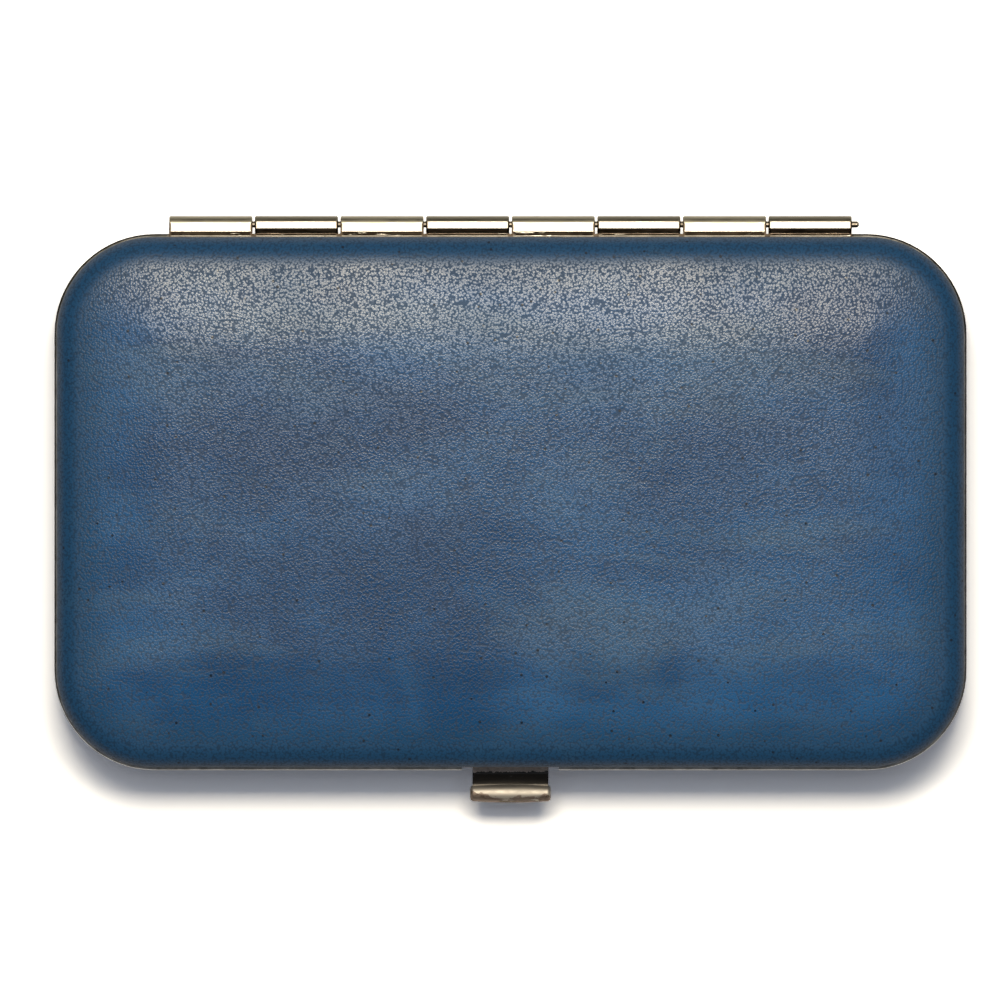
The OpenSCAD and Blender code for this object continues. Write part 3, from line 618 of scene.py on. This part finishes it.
def inset_of(co):
    """Distance of a point of the plan from the leather's outer edge."""
    dx, dy = abs(co.x) - CORE_X, abs(co.y) - CORE_Y
    if dx > 0 and dy > 0:
        return CORNER_R - math.hypot(dx, dy)
    return CORNER_R - max(dx, dy)


def swell(co):
    """How far the padded face falls away towards its edges, beyond the crown's own arc."""
    inset = inset_of(co)
    past_edge = max(inset - EDGE_R, 0.0)
    sharp = EDGE_FALL * math.exp(-past_edge / EDGE_FADE)
    soft = FACE_FALL * (1 + math.cos(math.pi * min(past_edge / FACE_REACH, 1.0))) / 2
    return max(0.0, sharp + soft - arc_drop(inset))


def arc_drop(inset):
    """Depth of the crown's arc below the face's middle, at this distance from the edge."""
    reach = max(0.0, min(CROWN_W, EDGE_R + CROWN_W - inset))
    return CROWN_R - math.sqrt(CROWN_R ** 2 - reach ** 2)


def leather_shape(seed):
    """The padded fall of the face, slight unevenness of the hide, always inwards, and the room left
    for the hinge leaf."""
    wave, fine_wave, depth, wave_share, fine_share = 21.0, 8.0, 0.08, 0.38, 0.12
    face_depth = 0.5                   # up to here the face takes the whole fall
    shift = Vector((seed, 0, 0))

    def shape(co, outside):
        under = 0 if outside else LEATHER_T
        face = max(0.0, min(1.0, (EDGE_Z + under - co.z) / (EDGE_Z - face_depth)))
        co.z += face * swell(co)
        if outside:
            slow = wave_share * noise.noise(co / wave + shift)
            quick = fine_share * noise.noise(co / fine_wave + shift)
            co.z += depth * face * (0.5 + slow + quick)
        if co.y > CORE_Y + EDGE_X and abs(co.x) < HINGE_NOTCH_X:
            co.z = min(co.z, HINGE_NOTCH_Z)
        return co
    return shape


def leather_cover(half, in_lid, finish):
    """The leather of one half."""
    bm = dish(leather_profile(), shape=leather_shape(3.0 if in_lid else 11.0))
    cover = finish_mesh(bm, half + "_leather_cover", half, in_lid)
    cover.data.materials.append(finish)
    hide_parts(half + "_leather")


def foam_pad(half, in_lid, finish):
    """The thin foam under a cover: a crowned slab with a skived edge."""
    low = LEATHER_T + LAYER_GAP
    top = low + PADDING_T
    skive, tip_in, tip_down = 0.4, 0.25, 0.12
    upper_part, least = 0.2, 0.04
    under = arc(CROWN_X, CROWN_R, CROWN_R - low, 0, CROWN_TILT, 5)
    profile = ([(FLAT_S, low)] + under + [(EDGE_X - tip_in, top - tip_down)]
               + line((EDGE_X - skive, top), (FLAT_S, top), 4))

    def shape(co, _):
        if co.z < top - upper_part:
            co.z = min(co.z + swell(co), top - least)
        return co

    pad = finish_mesh(dish(profile, 2.0, 10, shape), half + "_foam_pad", half, in_lid)
    pad.data.materials.append(finish)
    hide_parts(half + "_padding")


def lining_profile():
    """Section of the lid's lining: it lies on the board and turns up the wall to a folded rim."""
    out, inner = LEG_OUT, LEG_OUT - LINING_T
    face, fold, rim_z = LINING_Z + LINING_T, LINING_T / 2, LINING_TOP - LINING_T / 2
    axis, axis_z, r = LEG_OUT - LINING_BEND_R, LINING_Z + LINING_BEND_R, LINING_BEND_R
    under = [(FLAT_S, LINING_Z)] + line((FLAT_S, LINING_Z), (axis, LINING_Z), 5)
    bend = arc(axis, axis_z, r, 0, math.pi / 2, 6)[1:]
    wall = line(bend[-1], (out, rim_z), 2)
    turns = [math.pi * k / 6 for k in range(1, 6)]
    rim = [(inner + fold + fold * math.cos(t), rim_z + fold * math.sin(t)) for t in turns]
    back = [(inner, rim_z)] + line((inner, rim_z), (inner, axis_z), 2)
    inner_bend = arc(axis, axis_z, r - LINING_T, math.pi / 2, 0, 5)[1:]
    return under + bend + wall + rim + back + inner_bend + line(inner_bend[-1], (FLAT_S, face), 5)


def velour_lining(finish):
    """The lid's lining."""
    face, touch, sag, wave = LINING_Z + LINING_T, 0.01, 0.05, 13.0

    def shape(co, outside):
        if not outside and co.z < face + touch:
            co.z -= sag * (0.5 + 0.5 * noise.noise(co / wave))
        return co

    lining = finish_mesh(dish(lining_profile(), shape=shape), "lid_velour_lining", "lid", True)
    lining.data.materials.append(finish)
    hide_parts("lid_lining")


def band_path():
    """Centre line of the elastic band, over the loops, as (x, height) in the lid's half."""
    mid = BAND_Z + BAND_T / 2
    r = LOOP_R + BAND_T / 2
    axis = BAND_Z - LAYER_GAP + LOOP_LEG
    foot = 0.9
    run_steps, leg_steps, arch_steps = 8, 3, 20
    path = [(-BAND_HALF_L, mid)]
    for k in range(LOOP_COUNT):
        x = (k - (LOOP_COUNT - 1) / 2) * LOOP_PITCH
        start = (x - r - foot, mid)
        turns = [math.pi * t / arch_steps for t in range(1, arch_steps)]
        path += line(path[-1], start, run_steps)
        path += line(start, (x - r, axis), leg_steps)
        path += [(x - r * math.cos(t), axis + r * math.sin(t)) for t in turns]
        path += line((x + r, axis), (x + r + foot, mid), leg_steps)
    return path + line(path[-1], (BAND_HALF_L, mid), run_steps)


def elastic_band(finish):
    """The woven band: one strip with rounded edges that rises in loops for slim tools."""
    path = band_path()
    bm = bmesh.new()
    along = bm.verts.layers.float.new("along")
    across = bm.verts.layers.float.new("across")
    half_w, half_t = BAND_W / 2, BAND_T / 2
    ribs, thin_edge = 16, 0.45
    top = [(-half_w + BAND_W * i / ribs, half_t * (1.0 if 0 < i < ribs else thin_edge))
           for i in range(ribs + 1)]
    section = top + [(y, -t) for y, t in reversed(top)]
    rings = []
    walked = 0.0
    for k, (x, z) in enumerate(path):
        before, after = path[max(k - 1, 0)], path[min(k + 1, len(path) - 1)]
        run = Vector((after[0] - before[0], after[1] - before[1])).normalized()
        up = (-run.y, run.x)
        walked += math.dist(path[k], path[max(k - 1, 0)])
        ring = []
        for y, t in section:
            v = bm.verts.new((x + up[0] * t, y, z + up[1] * t))
            v[along], v[across] = walked, y
            ring.append(v)
        rings.append(ring)
    skin(bm, rings)
    band = finish_mesh(bm, "lid_elastic_band", "lid", True, smooth_angle=60)
    band.data.materials.append(finish)
    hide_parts("tool_band")


def stitch(bm, start, end, lift):
    """One thread stitch: a thin tube that rises out of the band at start and goes in at end."""
    steps, sides = 6, 6
    run = Vector(end) - Vector(start)
    side = run.cross(Vector((0, 0, 1))).normalized()
    rings = []
    for k in range(steps + 1):
        share = k / steps
        middle = Vector(start) + run * share + Vector((0, 0, lift * math.sin(math.pi * share)))
        around = [2 * math.pi * i / sides for i in range(sides)]
        rings.append([bm.verts.new(middle + (side * math.cos(t) + Vector((0, 0, math.sin(t))))
                                   * THREAD_R) for t in around])
    skin(bm, rings)


def tack_rows(finish):
    """Zigzag rows of stitches that hold the band to the board between its loops and at its ends."""
    bm = bmesh.new()
    count, margin, end_margin, row_offset = 9, 0.8, 1.4, 0.55
    half_lean, gap, sunk, lift = 0.22, 0.2, 0.06, 0.10
    step = (BAND_W - 2 * margin) / count
    hole = BAND_Z + BAND_T - sunk
    for k in range(LOOP_COUNT + 1):
        x = (k - LOOP_COUNT / 2) * LOOP_PITCH
        x = max(-BAND_HALF_L + end_margin, min(BAND_HALF_L - end_margin, x))
        for row in (x - row_offset, x + row_offset):
            for i in range(count):
                y = -BAND_W / 2 + margin + i * step
                lean = half_lean if i % 2 else -half_lean
                stitch(bm, (row - lean, y + gap / 2, hole), (row + lean, y + step - gap / 2, hole),
                       lift)
    rows = finish_mesh(bm, "lid_band_stitches", "lid", True, smooth_angle=60)
    rows.data.materials.append(finish)


def bow_spring(finish):
    """The bowed strip behind the catch, built at rest; in the case it flattens towards the bracket's
    wall as the tab goes in.
    """
    bm = bmesh.new()
    steps, half_t, half_h, soft = 32, SPRING_T / 2, SPRING_H / 2, 0.05
    section = [(half_t, -half_h + soft), (half_t, half_h - soft), (half_t - soft, half_h),
               (soft - half_t, half_h), (-half_t, half_h - soft), (-half_t, soft - half_h),
               (soft - half_t, -half_h), (half_t - soft, -half_h)]
    rings = []
    for k in range(steps + 1):
        turn = SPRING_TURN * (2 * k / steps - 1)
        ring = []
        for out, up in section:
            r = SPRING_R - half_t + out
            ring.append(bm.verts.new((r * math.sin(turn), SPRING_AXIS_Y - r * math.cos(turn),
                                      SPRING_Z + half_h + up)))
        rings.append(ring)
    skin(bm, rings)
    spring = finish_mesh(bm, "catch_bow_spring", "base")
    spring.data.materials.append(finish)
    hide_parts("catch_spring")
    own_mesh(spring)


# ---- Stage, light and camera ----------------------------------------------------------------

def stage_floor():
    """A plain white floor. Light comes off it as off paint, but the camera sees it brighter, and its
    shadow stays."""
    bpy.ops.mesh.primitive_plane_add(size=3.0)
    floor = bpy.context.object
    floor.name = "floor"
    paint_tone, seen_tone, glossy_share = rgb(0.75, 0.75, 0.75), rgb(2.3, 2.42, 2.7), 0.25
    f = Finish("floor_white")
    tree = f.tree
    tree.nodes.remove(f.shader)
    rays = f.node("ShaderNodeLightPath")
    glossy = f.maths("MULTIPLY", rays.outputs["Is Glossy Ray"], glossy_share)
    seen = f.maths("MAXIMUM", rays.outputs["Is Camera Ray"], glossy)
    paint = f.node("ShaderNodeBsdfDiffuse", {"Color": paint_tone})
    bright = f.node("ShaderNodeBsdfDiffuse", {"Color": seen_tone})
    mixed = f.node("ShaderNodeMixShader", {0: seen, 1: paint.outputs[0], 2: bright.outputs[0]})
    tree.links.new(mixed.outputs[0], tree.nodes["Material Output"].inputs["Surface"])
    floor.data.materials.append(f.material)


def stage_world():
    """Soft dim surroundings, darker and warmer towards the horizon; the camera sees them white."""
    world = bpy.data.worlds.new("studio")
    bpy.context.scene.world = world
    world.use_nodes = True
    tree = world.node_tree
    nodes, links = tree.nodes, tree.links
    background = nodes["Background"]
    coords = nodes.new("ShaderNodeTexCoord")
    split = nodes.new("ShaderNodeSeparateXYZ")
    ramp = nodes.new("ShaderNodeValToRGB")
    links.new(coords.outputs["Generated"], split.inputs[0])
    links.new(split.outputs["Z"], ramp.inputs[0])
    horizon, zenith = rgb(0.050, 0.042, 0.034), rgb(0.14, 0.14, 0.14)
    stops = ramp.color_ramp.elements
    stops[0].position, stops[0].color = 0.3, horizon
    stops[1].position, stops[1].color = 0.95, zenith
    white = nodes.new("ShaderNodeBackground")
    white.inputs["Color"].default_value = rgb(1, 1, 1)
    rays = nodes.new("ShaderNodeLightPath")
    mixed = nodes.new("ShaderNodeMixShader")
    links.new(ramp.outputs[0], background.inputs["Color"])
    links.new(rays.outputs["Is Camera Ray"], mixed.inputs[0])
    links.new(background.outputs[0], mixed.inputs[1])
    links.new(white.outputs[0], mixed.inputs[2])
    links.new(mixed.outputs[0], nodes["World Output"].inputs["Surface"])


def softbox(name, place, aim, size, power, tint=(1.0, 1.0, 1.0)):
    """A rectangular area light at place that looks at aim, in metres."""
    data = bpy.data.lights.new(name, "AREA")
    data.shape = "RECTANGLE"
    data.size, data.size_y = size
    data.energy = power
    data.color = tint
    lamp = bpy.data.objects.new(name, data)
    lamp.location = place
    lamp.rotation_mode = "QUATERNION"
    lamp.rotation_quaternion = (Vector(aim) - Vector(place)).to_track_quat("-Z", "Y")
    lamp.visible_camera = False
    bpy.context.scene.collection.objects.link(lamp)


def stage_camera():
    """A long lens straight above, with 125 mm of the frame's plane across the picture."""
    across, height, sensor = 0.125, 1.6, 36.0
    picture_middle = (-1.31 * MM, 0.25 * MM)
    data = bpy.data.cameras.new("camera")
    data.sensor_width = sensor
    data.lens = sensor * height / across
    data.clip_start, data.clip_end = 0.05, 10.0
    camera = bpy.data.objects.new("camera", data)
    camera.location = (*picture_middle, height + HALF_H * MM)
    bpy.context.scene.collection.objects.link(camera)
    bpy.context.scene.camera = camera


# ---- The scene ------------------------------------------------------------------------------

stage_camera()
stage_floor()
stage_world()
softbox("key", place=(0.0, 0.128, 0.51), aim=(0, 0, 0.01), size=(0.19, 0.12), power=1.76,
        tint=(1.0, 0.86, 0.63))
softbox("panel", place=(0.0, 0.215, 0.80), aim=(0, 0.215, 0.0), size=(0.5, 0.39), power=0.86)

leather = leather_finish()
foam = foam_finish()
for half_name, upper in (("base", False), ("lid", True)):
    leather_cover(half_name, upper, leather)
    foam_pad(half_name, upper, foam)
PILE_LIGHT = rgb(0.050, 0.054, 0.070)
velour_lining(velour_finish("lid_velour", rgb(0.016, 0.018, 0.025), PILE_LIGHT))
elastic_band(elastic_finish())
tack_rows(thread_finish())
bow_spring(plated_finish("spring_steel_blued", rgb(0.30, 0.32, 0.36), 0.3))

NICKEL = plated_finish("plated_nickel")
RIM = plated_finish("rim_nickel", dull_and_painted_light=bead_dull_and_painted_light)
SHEET_STEEL = shell_finish()
# Bands of painted shade and painted dark reflection on each half's knuckles.
BASE_KNUCKLES = knuckle_dull_and_painted_shade(low=33.2, high=34.18, back=35.03, covered=0.22, back_shade_tone=0.85,
                             front_shade_tone=1.4)
LID_KNUCKLES = knuckle_dull_and_painted_shade(low=33.2, high=33.86, back=34.85, covered=0.24, back_shade_tone=1.3,
                            front_shade_tone=0.05)
CAD_FINISHES = {
    "base_frame": RIM, "lid_frame": RIM,
    "base_hinge_leaf": plated_finish("base_knuckle_nickel", dull_and_painted_light=BASE_KNUCKLES, wear_and_highlight=rubbed_crest),
    "lid_hinge_leaf": plated_finish("lid_knuckle_nickel", dull_and_painted_light=LID_KNUCKLES),
    "base_hinge_rivets": NICKEL, "lid_hinge_rivets": NICKEL,
    "catch_bracket": NICKEL, "catch_bracket_rivets": NICKEL,
    "strike_plate": NICKEL, "strike_plate_rivets": NICKEL,
    "catch_lever": plated_finish("catch_nickel", dull_and_painted_light=catch_dull_and_painted_light),
    "hinge_pin": plated_finish("pin_steel_drawn", rgb(0.30, 0.265, 0.23), 0.34),
    "base_shell": SHEET_STEEL, "lid_shell": SHEET_STEEL,
    "lid_insert_board": board_finish(),
    "tool_tray": velour_finish("tray_flock", rgb(0.018, 0.020, 0.028), PILE_LIGHT, edge=0.7),
}
for node_name, finish_material in CAD_FINISHES.items():
    NODES[node_name].data.materials.clear()
    NODES[node_name].data.materials.append(finish_material)

soft_edges = NODES["tool_tray"].modifiers.new("moulded_edges", "BEVEL")
soft_edges.width, soft_edges.segments = MOULD_R * MM, 3
soft_edges.limit_method, soft_edges.angle_limit = "ANGLE", math.radians(50)
soft_edges.use_clamp_overlap = False

bpy.context.scene.view_settings.view_transform = "Standard"
